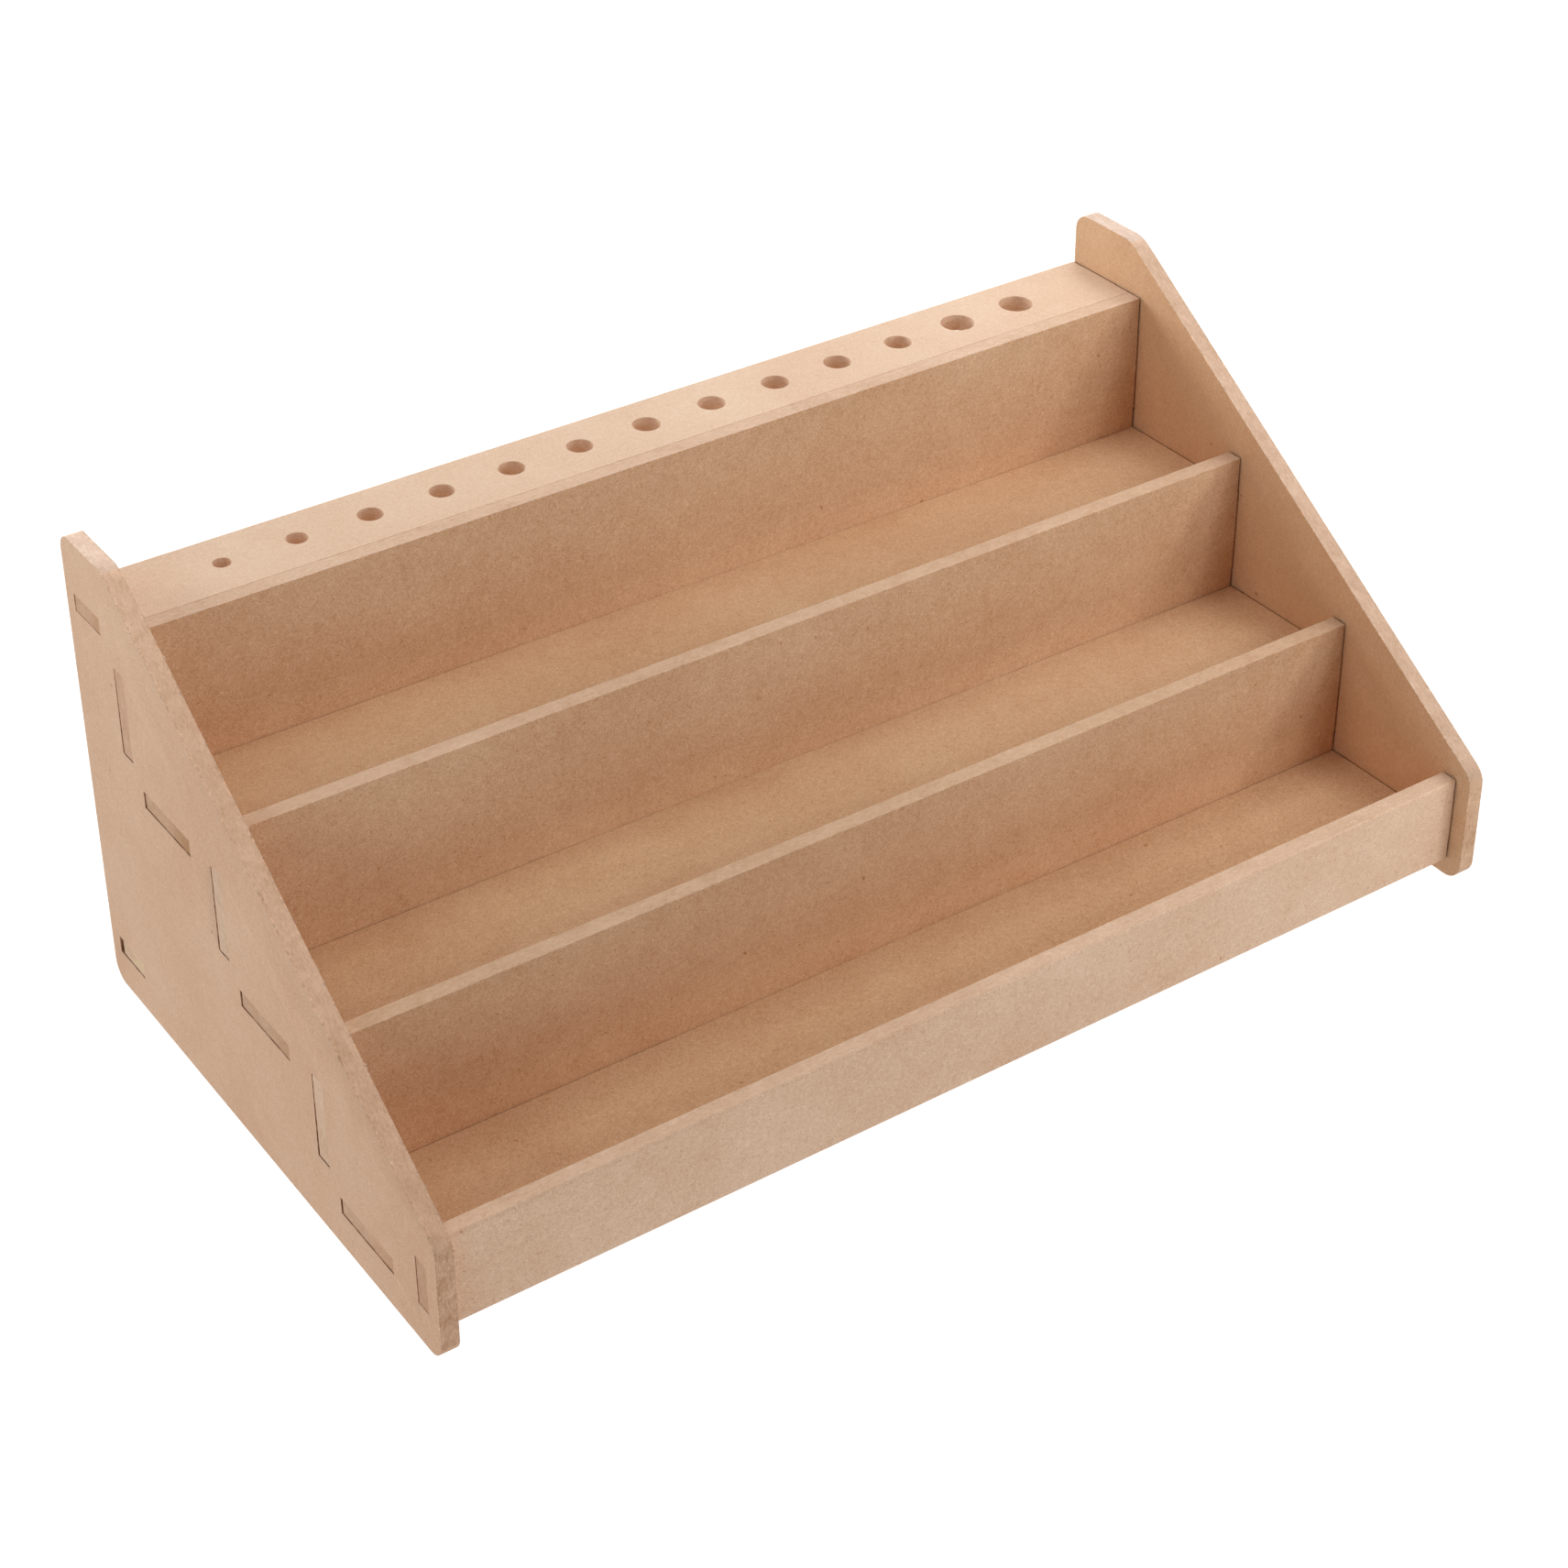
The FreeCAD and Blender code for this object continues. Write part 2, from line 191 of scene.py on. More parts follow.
def fibreboard(name, axis, low, high, face=FACE, edge=EDGE, mottle=1.0, wear=0.3,
               tab_end_tone_and_light=(1.0, 1.0, 1.0), shift=(0.0, 0.0, 0.0), panel=False,
               level=(1.0, 1.0, 1.0), front=(1.0, 1.0, 1.0), turn=(0.80, 0.97),
               fade=0.5):
    """Medium density fibreboard whose thickness runs along axis 0, 1 or 2.

    Faces are sanded, with a fine felted mottle of darker and paler fibre; edges are routed,
    rougher and streaked along the board; near the arrises the board is chipped and worn.
    `level` and `front` tint a panel's level top edge and its upright front edge with painted
    light, and `turn` is where the face passes into the edge. `fade` is how much of the tint of
    the tabs' ends, partly their cut colour and partly painted shade, is left at their rear.
    """
    material = new_material(name)
    g = Graph(material.node_tree)
    place = g.make("ShaderNodeTexCoord").outputs["Object"]
    here = g.vector("SCALE", place, scale=1000.0)
    mm = g.vector("ADD", here, shift)
    split = g.make("ShaderNodeSeparateXYZ")
    g.put(split.inputs[0], here)
    parts = [split.outputs[k] for k in range(3)]
    normal = g.make("ShaderNodeNewGeometry").outputs["True Normal"]
    thick = [0.0, 0.0, 0.0]
    thick[axis] = 1.0
    facing = g.math("ABSOLUTE", g.vector("DOT_PRODUCT", normal, thick))
    is_face = g.ramp(facing, *turn)
    is_edge = g.math("SUBTRACT", 1.0, is_face)
    is_arris = g.math("MULTIPLY", g.ramp(facing, 0.08, 0.35), is_edge)

    # how near the closest arris is: across the face, or through the thickness of an edge
    middle = [(a + b) / 2 for a, b in zip(low, high)]
    half = [(b - a) / 2 for a, b in zip(low, high)]
    if panel:
        rim_face = rim_of_panel(g, parts[1], parts[2])
    else:
        rim_face = rim_of_plate(g, parts, axis, middle, half)
    depth = g.math("ABSOLUTE", g.math("SUBTRACT", parts[axis], middle[axis]))
    rim_edge = g.math("SUBTRACT", half[axis], depth)
    rim = g.make("ShaderNodeMix", data_type="FLOAT")
    g.put(rim.inputs["Factor"], is_face)
    g.put(rim.inputs["A"], rim_edge)
    g.put(rim.inputs["B"], rim_face)
    near = g.ramp(rim.outputs["Result"], 0.1, 1.0, 1.0, 0.0)

    # slow clouds, patches, felted fibre bundles, fine fibre
    cloud = g.noise(mm, 0.017, 2.0, 0.55, 0.4)
    patch = g.noise(mm, 0.12, 2.0, 0.6, 0.8)
    felt = g.noise(mm, 0.75, 3.0, 0.68, 1.2)
    fine = g.noise(mm, 2.0, 2.0, 0.6, 0.5)
    # a few loose pale hairs
    hair = g.noise(mm, 0.42, 1.0, 0.4, 2.2)
    line = g.ramp(g.math("ABSOLUTE", g.math("SUBTRACT", hair, 0.5)), 0.0, 0.011, 1.0, 0.0)
    hairy = g.math("MULTIPLY", line, g.ramp(g.noise(mm, 0.19, 1.0, 0.5), 0.66, 0.70))

    # darker and paler flecks, a few tenths of a millimetre wide, and rare dark knots
    bend = g.vector("SCALE", g.noise(mm, 0.9, 1.0, 0.5, 0.0, "Color"), scale=1.3)
    warped = g.vector("ADD", mm, bend)
    flecks = g.make("ShaderNodeTexVoronoi")
    g.put(flecks.inputs["Vector"], warped)
    flecks.inputs["Scale"].default_value = 0.46
    pick = g.make("ShaderNodeSeparateColor")
    g.put(pick.inputs["Color"], flecks.outputs["Color"])
    dot = flecks.outputs["Distance"]
    dark_spot = g.math("MULTIPLY", g.ramp(dot, 0.09, 0.21, 1.0, 0.0),
                       g.ramp(pick.outputs["Red"], 0.62, 0.9))
    pale_spot = g.math("MULTIPLY", g.ramp(dot, 0.07, 0.17, 1.0, 0.0),
                       g.ramp(pick.outputs["Green"], 0.74, 0.95))
    rare = g.make("ShaderNodeTexVoronoi")
    g.put(rare.inputs["Vector"], warped)
    rare.inputs["Scale"].default_value = 0.085
    rare_pick = g.make("ShaderNodeSeparateColor")
    g.put(rare_pick.inputs["Color"], rare.outputs["Color"])
    knot = g.math("MULTIPLY", g.ramp(rare.outputs["Distance"], 0.030, 0.065, 1.0, 0.0),
                  g.ramp(rare_pick.outputs["Blue"], 0.50, 0.75))

    # face tone, 0.5 in the middle
    tone = g.math("MULTIPLY_ADD", g.math("SUBTRACT", cloud, 0.5), 0.9, 0.5)
    for part, share in ((patch, 0.5 * mottle), (felt, 1.9 * mottle), (fine, 2.1 * mottle)):
        tone = g.math("MULTIPLY_ADD", g.math("SUBTRACT", part, 0.5), share, tone)
    tone = g.math("MULTIPLY_ADD", dark_spot, -0.65 * mottle, tone)
    tone = g.math("MULTIPLY_ADD", pale_spot, 0.45 * mottle, tone)
    tone = g.math("MULTIPLY_ADD", hairy, 0.7, tone)
    tone = g.math("MULTIPLY_ADD", knot, -1.1, tone)
    tone = g.math("MAXIMUM", g.math("MINIMUM", tone, 1.7), -1.0)
    face_colour = g.blend(tone, rgba(scaled(face, DARK_FIBRE)), rgba(scaled(face, PALE_FIBRE)))
    face_colour.node.clamp_factor = False

    # edge tone: streaks along the board, squeezed across its thickness
    squeeze = [0.5, 0.5, 0.5]
    squeeze[axis] = 1.3
    along = g.vector("MULTIPLY", mm, tuple(squeeze))
    grain = g.noise(along, 0.9, 3.0, 0.65, 0.8)
    tuft = g.noise(along, 2.6, 1.0, 0.5, 1.0)
    rough_edge = 1.0
    shares = (1.0, 1.9, 1.1)
    if panel:
        # the slope is smooth; the upright front edge of the panels is the roughest
        ahead = g.ramp(g.vector("DOT_PRODUCT", normal, (0.0, -1.0, 0.0)), 0.86, 0.98)
        rough_edge = g.math("MULTIPLY_ADD", ahead, 2.2 * wear - 0.8, 1.0)
        shares = (1.4, 1.7, 1.0)
    edge_tone = g.math("MULTIPLY", g.math("SUBTRACT", cloud, 0.5), 0.9)
    for part, share in zip((patch, grain, tuft), shares):
        edge_tone = g.math("MULTIPLY_ADD", g.math("SUBTRACT", part, 0.5), share, edge_tone)
    edge_tone = g.math("MULTIPLY_ADD", dark_spot, -0.4, edge_tone)
    edge_tone = g.math("MULTIPLY_ADD", edge_tone, rough_edge, 0.5)
    edge_tone = g.math("MAXIMUM", g.math("MINIMUM", edge_tone, 1.9), -1.4)
    edge_colour = g.blend(edge_tone, rgba(scaled(edge, DARK_CUT)), rgba(scaled(edge, PALE_CUT)))
    edge_colour.node.clamp_factor = False

    # wear: pale chips and dark pits near the arrises; the arrises themselves paler, partly wear and
    # partly a painted highlight
    chip = g.noise(mm, 0.85, 3.0, 0.6, 0.6)
    chips = g.math("MULTIPLY", g.ramp(chip, 0.55, 0.64), near)
    pits = g.math("MULTIPLY", g.ramp(chip, 0.45, 0.36), near)
    arris_wear_and_highlight = g.math("MULTIPLY", is_arris, g.ramp(patch, 0.40, 0.60, 0.4, 1.0))
    colour = g.blend(is_face, edge_colour, face_colour)
    worn = g.math("MULTIPLY_ADD", chips, 0.30 * wear, 1.0)
    worn = g.math("MULTIPLY_ADD", pits, -0.34 * wear, worn)
    worn = g.math("MULTIPLY_ADD", arris_wear_and_highlight, 0.08, worn)
    colour = g.tint(colour, worn)

    if panel:
        # painted shade: the walls of the slots and the strips behind the boards' ends are darkened as if
        # in the shadow of the narrow gaps
        across = g.math("ABSOLUTE", parts[0])
        well_in = g.ramp(rim_of_panel(g, parts[1], parts[2]), 1.2, 2.0)
        painted_gap_shade = g.math("MULTIPLY", g.math("MULTIPLY", is_edge, well_in),
                        g.ramp(across, 199.97, 199.82))
        for box in FOOTPRINTS:
            painted_gap_shade = g.math("MAXIMUM", painted_gap_shade, g.math(
                "MULTIPLY", inside_box(g, parts[1], parts[2], box),
                g.ramp(across, 194.3, 194.1, 0.0, 0.62)))
        painted_gap_shade = g.math("MULTIPLY", painted_gap_shade,
                        g.ramp(g.noise(mm, 0.16, 1.0, 0.5), 0.42, 0.56, 0.45, 1.0))
        colour = g.blend(painted_gap_shade, colour, g.vector("MULTIPLY", colour, (0.42, 0.30, 0.24)))
        # painted light: the level top edge is tinted cooler and greyer where it faces up, and the
        # upright front edge darker on the left panel and lighter on the right
        painted_light_on_top = g.ramp(g.vector("DOT_PRODUCT", normal, (0.0, 0.0, 1.0)), 0.90, 0.98)
        colour = g.blend(painted_light_on_top, colour, g.vector("MULTIPLY", colour, level))
        colour = g.blend(ahead, colour, g.vector("MULTIPLY", colour, front))

    else:
        # painted shade: the boards' own ends in the joints are darkened as if in the shadow of the gaps
        ends = g.math("MULTIPLY", g.ramp(g.math("ABSOLUTE", parts[0]), high[0] - 0.06, high[0] - 0.02),
                      g.ramp(g.math("ABSOLUTE", parts[0]), 199.3, 199.1))
        colour = g.blend(ends, colour, g.vector("MULTIPLY", colour, (0.50, 0.38, 0.31)))

    # the tabs' ends are tinted per board: partly their own cut colour, partly painted shade where they
    # sit recessed in the slots and painted light where they stand flush
    if tab_end_tone_and_light != (1.0, 1.0, 1.0):
        outside = g.ramp(g.math("ABSOLUTE", parts[0]), 194.0, 194.4)
        if axis == 2:
            # on a level board the painted tint of the tabs' ends is weakest at the rear and strongest at
            # the front
            rear = middle[1] + half[1] * 0.35
            outside = g.math("MULTIPLY", outside, g.ramp(
                parts[1], rear, middle[1] - half[1] * 0.45, fade, 2.0 - fade))
        colour = g.blend(outside, colour, g.vector("MULTIPLY", colour, tab_end_tone_and_light))
        colour.node.clamp_factor = False

    rough = g.math("MULTIPLY_ADD", felt, 0.16, 0.66)
    rough = g.math("MULTIPLY_ADD", is_edge, 0.10, rough)
    height = g.math("MULTIPLY_ADD", felt, 0.55, g.math("MULTIPLY", fine, 0.45))
    height = g.math("MULTIPLY_ADD", dark_spot, -0.4, height)
    height = g.math("MULTIPLY_ADD", hairy, 0.6, height)
    edge_height = g.math("MULTIPLY_ADD", grain, 1.4, g.math("MULTIPLY", tuft, 0.9))
    edge_height = g.math("MULTIPLY", edge_height, rough_edge)
    lift = g.make("ShaderNodeMix", data_type="FLOAT")
    g.put(lift.inputs["Factor"], is_face)
    g.put(lift.inputs["A"], edge_height)
    g.put(lift.inputs["B"], height)
    raised = g.math("MULTIPLY_ADD", g.math("SUBTRACT", chips, pits), 1.5 * wear,
                    lift.outputs["Result"])
    bump = g.make("ShaderNodeBump")
    bump.inputs["Strength"].default_value = 0.25
    bump.inputs["Distance"].default_value = 0.00013
    g.put(bump.inputs["Height"], raised)

    shader = g.make("ShaderNodeBsdfPrincipled")
    g.put(shader.inputs["Base Color"], colour)
    g.put(shader.inputs["Roughness"], rough)
    g.put(shader.inputs["Normal"], bump.outputs["Normal"])
    shader.inputs["IOR"].default_value = 1.46
    shader.inputs["Specular IOR Level"].default_value = 0.35
    output = g.make("ShaderNodeOutputMaterial")
    g.put(output.inputs["Surface"], shader.outputs["BSDF"])
    return material


# gains shared by the trays' boards: partly the boards' own tone, partly painted light and shade
FLOOR_FACE_TONE_AND_LIGHT = (1.091, 1.034, 0.942)
RISER_FACE_TONE_AND_LIGHT = (1.039, 0.979, 0.921)
TRAY_EDGE_TONE_AND_LIGHT = (0.99, 0.96, 0.94)

# (thickness axis, face gain, edge gain, mottle, wear, gain of the tabs' ends) of each board; the three
# gains are partly each board's own tone and partly painted light and shade
BOARDS = {
    "side_panel_left": (0, (1.030, 0.999, 1.036), (1.275, 1.193, 1.149), 0.75, 0.75, (1, 1, 1)),
    "side_panel_right": (0, (1.048, 0.986, 0.910), (1.092, 1.069, 1.081), 0.78, 0.6, (1, 1, 1)),
    "tray_floor_lower": (2, FLOOR_FACE_TONE_AND_LIGHT, TRAY_EDGE_TONE_AND_LIGHT, 1.02, 0.3, (0.968, 0.903, 0.842)),
    "tray_floor_middle": (2, FLOOR_FACE_TONE_AND_LIGHT, TRAY_EDGE_TONE_AND_LIGHT, 1.02, 0.3, (0.912, 0.860, 0.790)),
    "tray_floor_upper": (2, FLOOR_FACE_TONE_AND_LIGHT, TRAY_EDGE_TONE_AND_LIGHT, 1.02, 0.3, (0.808, 0.709, 0.602)),
    "riser_lower": (1, (0.987, 0.935, 0.880), (0.907, 0.861, 0.800), 1.25, 0.3, (1.240, 1.323, 1.428)),
    "riser_middle": (1, RISER_FACE_TONE_AND_LIGHT, (0.918, 0.881, 0.839), 1.25, 0.3, (1.132, 1.192, 1.247)),
    "riser_upper": (1, RISER_FACE_TONE_AND_LIGHT, (0.897, 0.886, 0.891), 1.25, 0.3, (1.079, 1.004, 0.957)),
    "front_lip": (1, (1.283, 1.306, 1.409), (1.003, 0.993, 0.990), 0.95, 0.15, (0.928, 0.845, 0.784)),
    "tool_board": (2, (0.925, 0.965, 1.063), (1.046, 1.050, 1.066), 0.62, 0.3, (0.904, 0.817, 0.745)),
    "rear_rail": (2, (1, 1, 1), (1, 1, 1), 0.8, 0.3, (1.111, 1.163, 1.105)),
}
# painted light: tints of the panels' level top edge and upright front edge, against their slope; the top
# edge cooler and greyer where it faces up, the front edge darker on the left panel and lighter on the
# right
LEVEL_EDGE_PAINTED_LIGHT = {"side_panel_left": (0.866, 0.975, 1.103), "side_panel_right": (0.861, 0.961, 1.083)}
FRONT_EDGE_PAINTED_LIGHT = {"side_panel_left": (0.918, 0.911, 0.905), "side_panel_right": (1.085, 1.032, 0.952)}

for number, (name, settings) in enumerate(BOARDS.items()):
    axis, face_tone_and_light, edge_tone_and_light, mottle, wear, tab_end_tone_and_light = settings
    board = nodes[name]
    low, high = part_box(name)
    low, high = [c * 1000.0 for c in low], [c * 1000.0 for c in high]
    if axis != 0:
        low[0], high[0] = -193.4, 193.4
    material = fibreboard(
        "mdf_" + name, axis, low, high, scaled(FACE, face_tone_and_light), scaled(EDGE, edge_tone_and_light),
        mottle, wear, tuple(float(c) for c in tab_end_tone_and_light),
        shift=(37.0 * number, 11.0 * number, 53.0 * number), panel=axis == 0,
        level=LEVEL_EDGE_PAINTED_LIGHT.get(name), front=FRONT_EDGE_PAINTED_LIGHT.get(name),
        turn=(0.30, 0.62) if name == "front_lip" else (0.80, 0.97))
    board.data.materials.clear()
    board.data.materials.append(material)
    weld = board.modifiers.new("weld", "WELD")
    weld.merge_threshold = 0.00001
    plain = board.modifiers.new("plain", "DECIMATE")
    plain.decimate_type = "DISSOLVE"
    plain.angle_limit = math.radians(0.04)
    arris = board.modifiers.new("arris", "BEVEL")
    arris.width = 0.00009 if name in ("tool_board", "riser_upper") else 0.00022
    arris.segments = 2
    arris.limit_method = "ANGLE"
    arris.angle_limit = math.radians(40)
    arris.use_clamp_overlap = True

# ---------------------------------------------------------------- chips and fibre tufts

chance = random.Random(4711)


def chip_material():
    """Torn fibre: paler than the cut edge, each tuft its own shade."""
    material = new_material("mdf_torn_fibre")
    g = Graph(material.node_tree)
    place = g.make("ShaderNodeTexCoord").outputs["Object"]
    mm = g.vector("SCALE", place, scale=1000.0)
    each = g.make("ShaderNodeNewGeometry").outputs["Random Per Island"]
    grain = g.noise(mm, 3.0, 2.0, 0.6, 0.5)
    tone = g.math("MULTIPLY_ADD", g.math("SUBTRACT", grain, 0.5), 1.2, each)
    colour = g.blend(tone, rgba(scaled(EDGE, (0.96, 0.92, 0.86))),
                     rgba(scaled(EDGE, (1.22, 1.24, 1.28))))
    bump = g.make("ShaderNodeBump")
    bump.inputs["Strength"].default_value = 0.5
    bump.inputs["Distance"].default_value = 0.0001
    g.put(bump.inputs["Height"], grain)
    shader = g.make("ShaderNodeBsdfPrincipled")
    g.put(shader.inputs["Base Color"], colour)
    g.put(shader.inputs["Roughness"], g.math("MULTIPLY_ADD", grain, 0.2, 0.7))
    g.put(shader.inputs["Normal"], bump.outputs["Normal"])
    shader.inputs["Specular IOR Level"].default_value = 0.25
    output = g.make("ShaderNodeOutputMaterial")
    g.put(output.inputs["Surface"], shader.outputs["BSDF"])
    return material


TORN = chip_material()
LIMIT_LOW, LIMIT_HIGH = Vector((-199.97, -106.97, 0.03)), Vector((199.97, 106.97, 167.97))


class Tufts:
    """Small torn slivers of fibre, each a closed faceted spindle, in one mesh."""

    def __init__(self, name):
        self.name = name
        self.corners = []
        self.faces = []

    def sliver(self, centre, along, out, length, wide, tall):
        """A sliver lying along `along` that stands `tall` out of the surface; in mm."""
        along, out = along.normalized(), out.normalized()
        side = along.cross(out).normalized()
        first = len(self.corners)
        tips = []
        for sign in (-1, 1):
            tip = centre + along * (sign * length * chance.uniform(0.42, 0.58))
            tip += out * tall * chance.uniform(-0.3, 0.5) + side * wide * chance.uniform(-0.4, 0.4)
            tips.append(tip)
        ring = []
        for k in range(5):
            turn = math.tau * (k + chance.uniform(-0.25, 0.25)) / 5
            at = centre + along * (length * chance.uniform(-0.16, 0.16))
            at += side * (math.cos(turn) * wide * chance.uniform(0.35, 0.6))
            at += out * (math.sin(turn) * tall * chance.uniform(0.6, 1.1))
            ring.append(at)
        for corner in tips + ring:
            inside = [min(max(c, a), b) for c, a, b in zip(corner, LIMIT_LOW, LIMIT_HIGH)]
            self.corners.append(Vector(inside) * 0.001)
        for k in range(5):
            a, b = first + 2 + k, first + 2 + (k + 1) % 5
            self.faces += [(first, b, a), (first + 1, a, b)]

    def row(self, start, end, out, spread, count, size, turn=0.5, thin=1.0):
        """Slivers along a line, in loose clusters; `spread` moves them off the line."""
        start, end = Vector(start), Vector(end)
        out = Vector(out).normalized()
        spread = Vector(spread)
        along = (end - start).normalized()
        level = 0.5
        placed = 0
        while placed < count:
            level = min(1.0, max(0.08, level + chance.uniform(-0.3, 0.3)))
            t = chance.random()
            if chance.random() > level:
                t = min(1.0, max(0.0, t + chance.uniform(-0.02, 0.02)))
            middle = start.lerp(end, t) + spread * chance.random()
            lean = along + spread * chance.uniform(-turn, turn) + out * chance.uniform(-turn, turn) * 0.4
            length = size * chance.uniform(0.5, 1.5)
            wide = size * thin * chance.uniform(0.22, 0.5)
            self.sliver(middle, lean, out, length, wide, wide * chance.uniform(0.35, 0.8))
            placed += 1

    def ring(self, centre, radius, out, count, size):
        """Slivers around a bored hole's mouth."""
        for k in range(count):
            turn = chance.uniform(0, math.tau)
            ray = Vector((math.cos(turn), math.sin(turn), 0.0))
            at = Vector(centre) + ray * (radius + chance.uniform(-0.12, 0.1))
            self.sliver(at, Vector((-ray.y, ray.x, 0.0)) + ray * chance.uniform(-0.4, 0.4), out,
                        size * chance.uniform(0.5, 1.4), size * 0.4, size * chance.uniform(0.12, 0.25))

    def build(self):
        mesh = bpy.data.meshes.new(self.name)
        mesh.from_pydata(self.corners, [], self.faces)
        mesh.validate()
        mesh.materials.append(TORN)
        made = bpy.data.objects.new(self.name, mesh)
        scene.collection.objects.link(made)
        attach(made, "root")
        return made


SLOPE_OUT = (0.0, -0.5638, 0.8260)
SLOPE_LOW, SLOPE_HIGH = (-102.0, 45.4), (72.5, 164.5)  # (y, z) just clear of the rounded ends

for word, outer, inner, share in (("left", -200.0, -194.0, 1.0), ("right", 200.0, 194.0, 0.55)):
    tufts = Tufts("tufts_panel_" + word)
    toward = 1.0 if outer < 0 else -1.0  # from the outer arris into the edge

    def line(x, count, size, spread, out=SLOPE_OUT, turn=0.5, thin=1.0):
        tufts.row((x, *SLOPE_LOW), (x, *SLOPE_HIGH), out, spread, int(count * share), size,
                  turn, thin)

    line(outer + toward * 0.08, 34, 0.5, (toward * 0.5, 0, 0))
    line(outer + toward * 0.12, 14, 1.1, (toward * 0.5, 0, 0))
    line(outer + toward * 0.06, 44, 2.6, (toward * 0.14, 0, 0), turn=0.10, thin=0.22)
    line(inner, 90, 0.5, (-toward * 0.35, 0, 0))
    line(inner + toward * 0.15, 26, 1.0, (-toward * 0.25, 0, 0), (toward * 0.7, -0.4, 0.6))
    line(inner + toward * 0.2, 9, 1.9, (-toward * 0.2, 0, 0), (toward * 0.7, -0.4, 0.6), thin=0.8)
    # upright front edge
    for x, lean in ((outer + toward * 0.1, toward), (inner - toward * 0.1, -toward)):
        tufts.row((x, -106.9, 7.0), (x, -106.9, 38.0), (-lean * 0.5, -1, 0), (lean * 0.35, 0, 0),
                  int(34 * share), 0.6)
    # level top edge and the rounded brow
    for x, lean in ((outer + toward * 0.1, toward), (inner, -toward)):
        tufts.row((x, 82.0, 167.95), (x, 101.0, 167.95), (0, 0, 1), (lean * 0.4, 0, 0),
                  int(10 * share), 0.4)
    tufts.build()

# slot mouths on the outer faces, (y low, y high, z low, z high)
SLOTS = []
for step in range(3):
    SLOTS.append((-80.9 + 57.0 * step, -49.6 + 57.0 * step, 13.1 + 38.8 * step, 19.3 + 38.8 * step))
    SLOTS.append((-44.1 + 57.0 * step, -37.5 + 57.0 * step, 26.6 + 38.8 * step, 57.4 + 38.8 * step))
SLOTS.append((-101.1, -94.8, 13.8, 31.6))
SLOTS.append((83.4, 101.2, 142.5, 148.6))
SLOTS.append((83.2, 100.9, 13.0, 19.3))
for word, x in (("left", -199.93), ("right", 199.93)):
    tufts = Tufts("tufts_slots_" + word)
    for y0, y1, z0, z1 in SLOTS:
        for start, end in (((x, y0, z0), (x, y0, z1)), ((x, y1, z0), (x, y1, z1)),
                           ((x, y0, z0), (x, y1, z0)), ((x, y0, z1), (x, y1, z1))):
            span = (Vector(end) - Vector(start)).length
            tufts.row(start, end, (x, 0, 0), (-x * 0.0006, 0, 0), int(span / 3.2) + 1, 0.32)
    tufts.build()

# fibres in the seams of the trays, along the upper arrises of the risers, round the holes
tufts = Tufts("tufts_trays")
for step in range(3):
    y_front, y_rear = -95.0 + 57.0 * step, -44.0 + 57.0 * step
    z_floor, z_top = 19.3 + 38.8 * step, 70.9 + 38.8 * step
    for x in (-193.7, 193.7):
        tufts.row((x, y_rear, z_floor), (x, y_rear, z_top - 0.3), (0, -1, 0), (0.1, 0, 0), 16, 0.32)
        tufts.row((x, y_front, z_floor), (x, y_rear, z_floor), (0, 0, 1), (0.1, 0, 0), 14, 0.30)
    tufts.row((-193, y_rear + 0.05, z_floor), (193, y_rear + 0.05, z_floor), (0, -0.4, 1),
              (0, -0.1, 0), 34, 0.30)
    tufts.row((-193, y_rear + 0.1, z_top - 0.05), (193, y_rear + 0.1, z_top - 0.05), (0, -0.7, 0.7),
              (0, 0.2, 0), 26, 0.42)
tufts.row((-193, -94.9, 38.75), (193, -94.9, 38.75), (0, 0.5, 1), (0, -0.3, 0), 30, 0.42)
for k, wide in enumerate((6.0, 7.2, 8.5, 8.5, 9.0, 9.0, 9.6, 9.6, 9.6, 9.6, 9.6, 12.0, 12.0)):
    tufts.ring((-155.0 + 25.83 * k, 92.0, 148.42), wide / 2, Vector((0, 0, 1)), 7, 0.4)
tufts.build()

# ---------------------------------------------------------------- floor and light

def level_sheet(name, z, albedo, glow):
    """A level sheet of plain paper under the rack, with an even glow of its own."""
    mesh = bpy.data.meshes.new(name)
    mesh.from_pydata([(-9, -9, z), (9, -9, z), (9, 9, z), (-9, 9, z)], [], [(0, 1, 2, 3)])
    sheet = bpy.data.objects.new(name, mesh)
    scene.collection.objects.link(sheet)
    paper = new_material(name + "_paper")
    g = Graph(paper.node_tree)
    shader = g.make("ShaderNodeBsdfPrincipled")
    shader.inputs["Base Color"].default_value = (albedo, albedo, albedo, 1)
    shader.inputs["Roughness"].default_value = 0.9
    shader.inputs["Specular IOR Level"].default_value = 0.1
    shader.inputs["Emission Color"].default_value = (1, 1, 1, 1)
    shader.inputs["Emission Strength"].default_value = glow
    output = g.make("ShaderNodeOutputMaterial")
    g.put(output.inputs["Surface"], shader.outputs["BSDF"])
    # found by the light's own bounces, which is smoother than aiming at so wide a sheet
    paper.cycles.emission_sampling = "NONE"
    mesh.materials.append(paper)
    return sheet


# the white floor, and just under it the sheet that throws light back up at the rack
floor = level_sheet("floor", -0.0001, 0.2, 1.0)
floor.visible_diffuse = False
floor.visible_glossy = False
bounce = level_sheet("floor_bounce", -0.0002, 0.2, 0.644)
bounce.visible_camera = False

world = bpy.data.worlds.new("studio")
scene.world = world
world.use_nodes = True
world.node_tree.nodes.clear()
g = Graph(world.node_tree)
seen = g.make("ShaderNodeBackground")
seen.inputs["Strength"].default_value = 1.0
lit = g.make("ShaderNodeBackground")
lit.inputs["Strength"].default_value = 0.0
either = g.make("ShaderNodeMixShader")
g.put(either.inputs[0], g.make("ShaderNodeLightPath").outputs["Is Camera Ray"])
g.put(either.inputs[1], lit.outputs[0])
g.put(either.inputs[2], seen.outputs[0])
output = g.make("ShaderNodeOutputWorld")
g.put(output.inputs["Surface"], either.outputs[0])


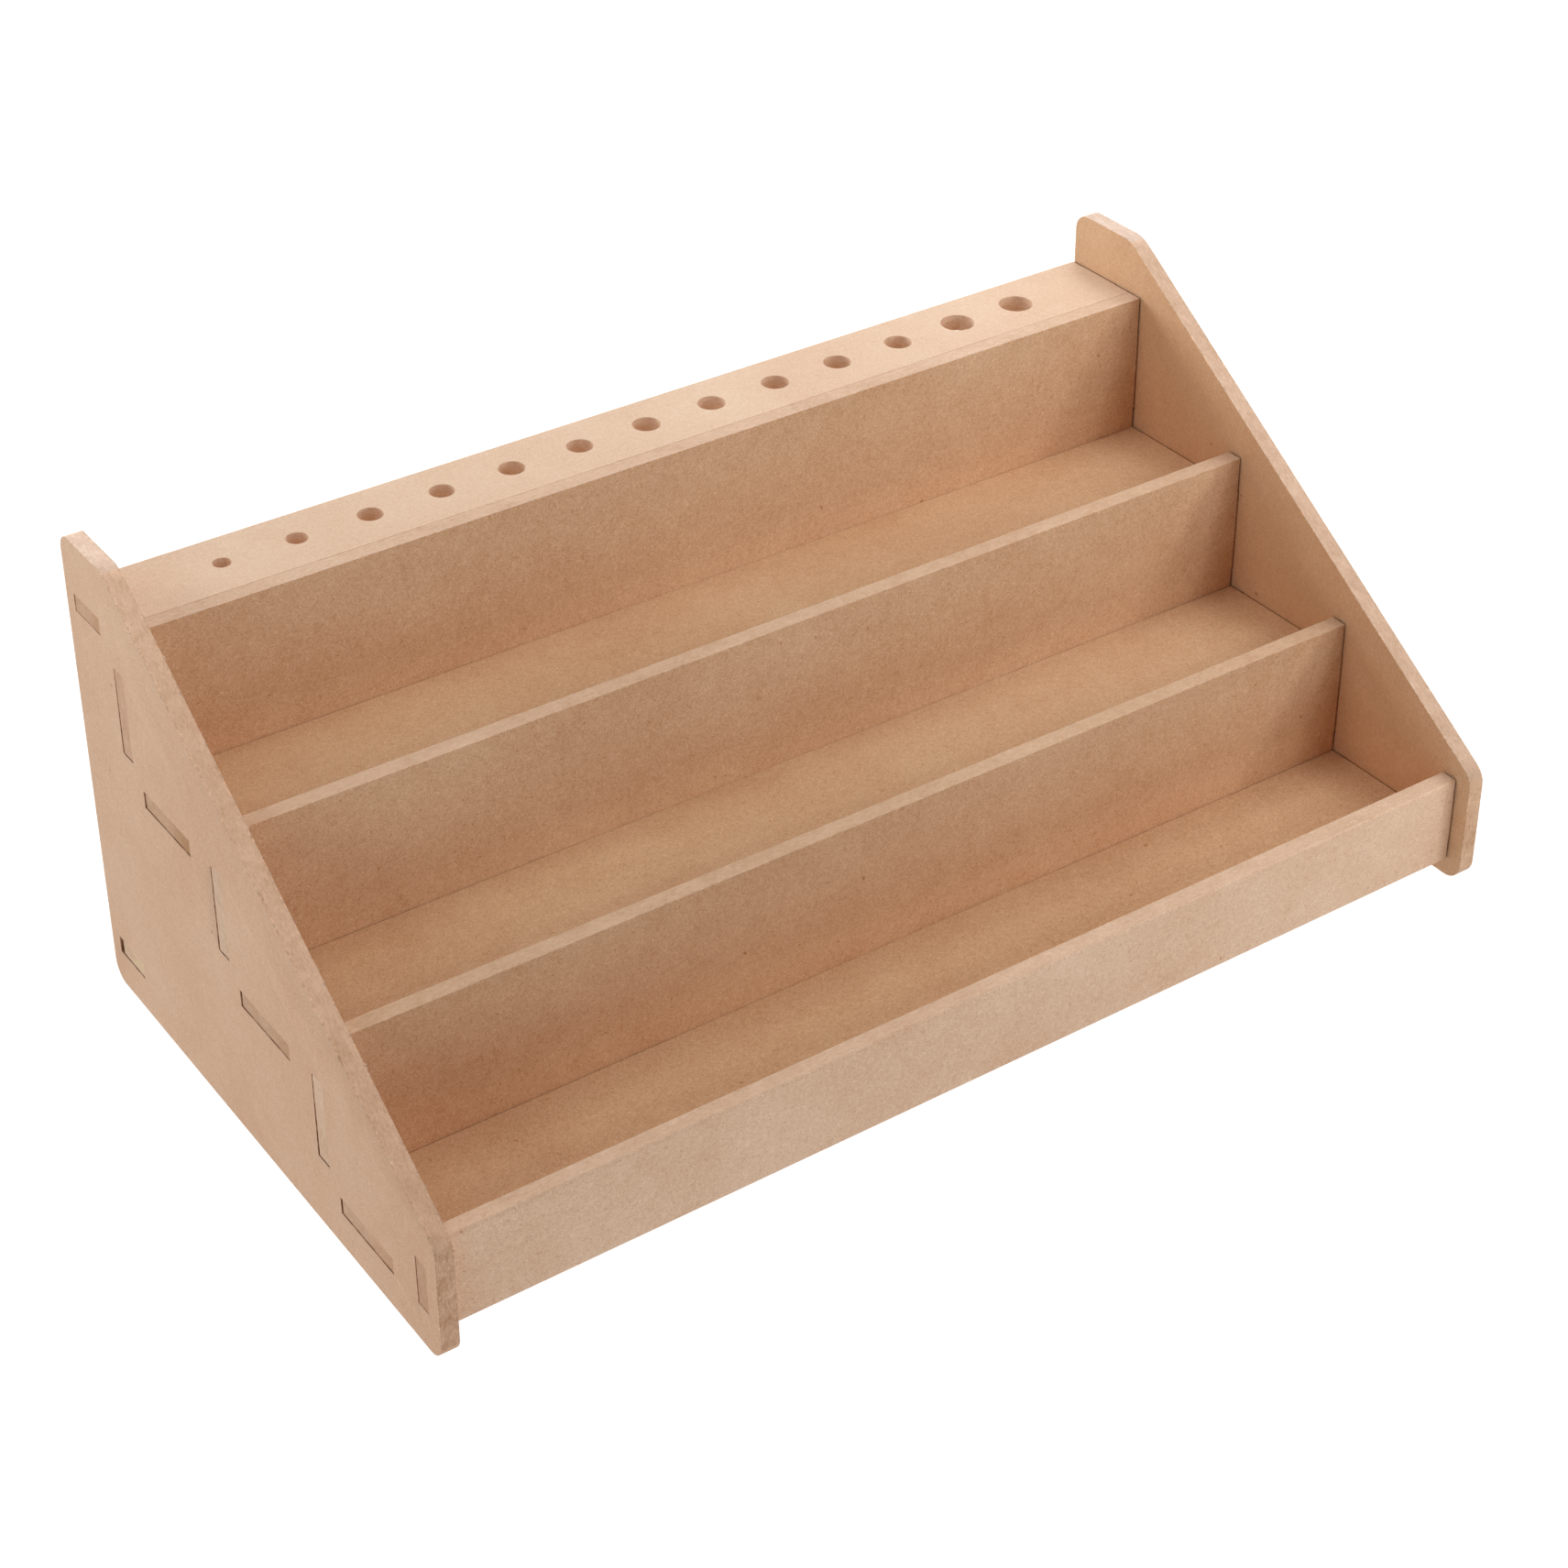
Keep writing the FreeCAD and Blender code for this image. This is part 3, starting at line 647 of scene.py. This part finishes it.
def softbox(name, azimuth, elevation, away, size, power):
    """A large square light; azimuth 0 stands in front of the rack and 90 to its right."""
    a, e = math.radians(azimuth), math.radians(elevation)
    back = Vector((math.sin(a) * math.cos(e), -math.cos(a) * math.cos(e), math.sin(e)))
    light = bpy.data.lights.new(name, "AREA")
    light.shape = "DISK"
    light.size = size
    light.energy = power
    lamp = bpy.data.objects.new(name, light)
    scene.collection.objects.link(lamp)
    lamp.location = Vector((0, 0, 0.08)) + back * away
    lamp.rotation_mode = "QUATERNION"
    lamp.rotation_quaternion = back.to_track_quat("Z", "Y")
    return lamp


# far boxes and the smaller key lamps stand 2.2 m away, near ones 0.9 m and the closest
# reflectors 0.55 and 0.4 m; their names give azimuth and elevation
for name, azimuth, elevation, away, size, power in (
    ("far_225_15", 225, 15, 2.2, 1.0, 19.3),
    ("far_300_15", 300, 15, 2.2, 1.0, 3.3),
    ("far_180_38", 180, 38, 2.2, 1.0, 24.0),
    ("far_060_62", 60, 62, 2.2, 1.0, 3.1),
    ("key_040_15", 40, 15, 2.2, 0.35, 5.3),
    ("key_015_30", 15, 30, 2.2, 0.35, 2.1),
    ("key_025_30", 25, 30, 2.2, 0.35, 3.7),
    ("near_135_38", 135, 38, 0.9, 0.45, 2.68),
    ("near_270_38", 270, 38, 0.9, 0.45, 0.74),
    ("near_270_65", 270, 65, 0.9, 0.45, 1.08),
    ("close_050_25", 50, 25, 0.55, 0.25, 0.264),
    ("close_135_70", 135, 70, 0.55, 0.25, 0.36),
    ("close_070_25", 70, 25, 0.55, 0.25, 0.16),
    ("beside_090_45", 90, 45, 0.4, 0.15, 0.112),
    ("beside_045_20", 45, 20, 0.4, 0.15, 0.06),
):
    softbox(name, azimuth, elevation, away, size, power).visible_camera = False

# ---------------------------------------------------------------- camera

camera_data = bpy.data.cameras.new("camera")
camera = bpy.data.objects.new("camera", camera_data)
scene.collection.objects.link(camera)
camera.matrix_world = Matrix((
    (0.827561, 0.292709, -0.479025, -0.497182),
    (-0.561301, 0.417438, -0.714624, -0.702589),
    (-0.009214, 0.860271, 0.509753, 0.655398),
    (0.0, 0.0, 0.0, 1.0),
))
camera_data.sensor_width = 36.0
camera_data.lens = 74.0538
camera_data.shift_x = 0.03
camera_data.shift_y = -0.15
camera_data.clip_start = 0.01
camera_data.clip_end = 60.0
scene.camera = camera

scene.view_settings.view_transform = "Standard"
scene.view_settings.look = "None"
scene.cycles.max_bounces = 12
scene.cycles.diffuse_bounces = 10
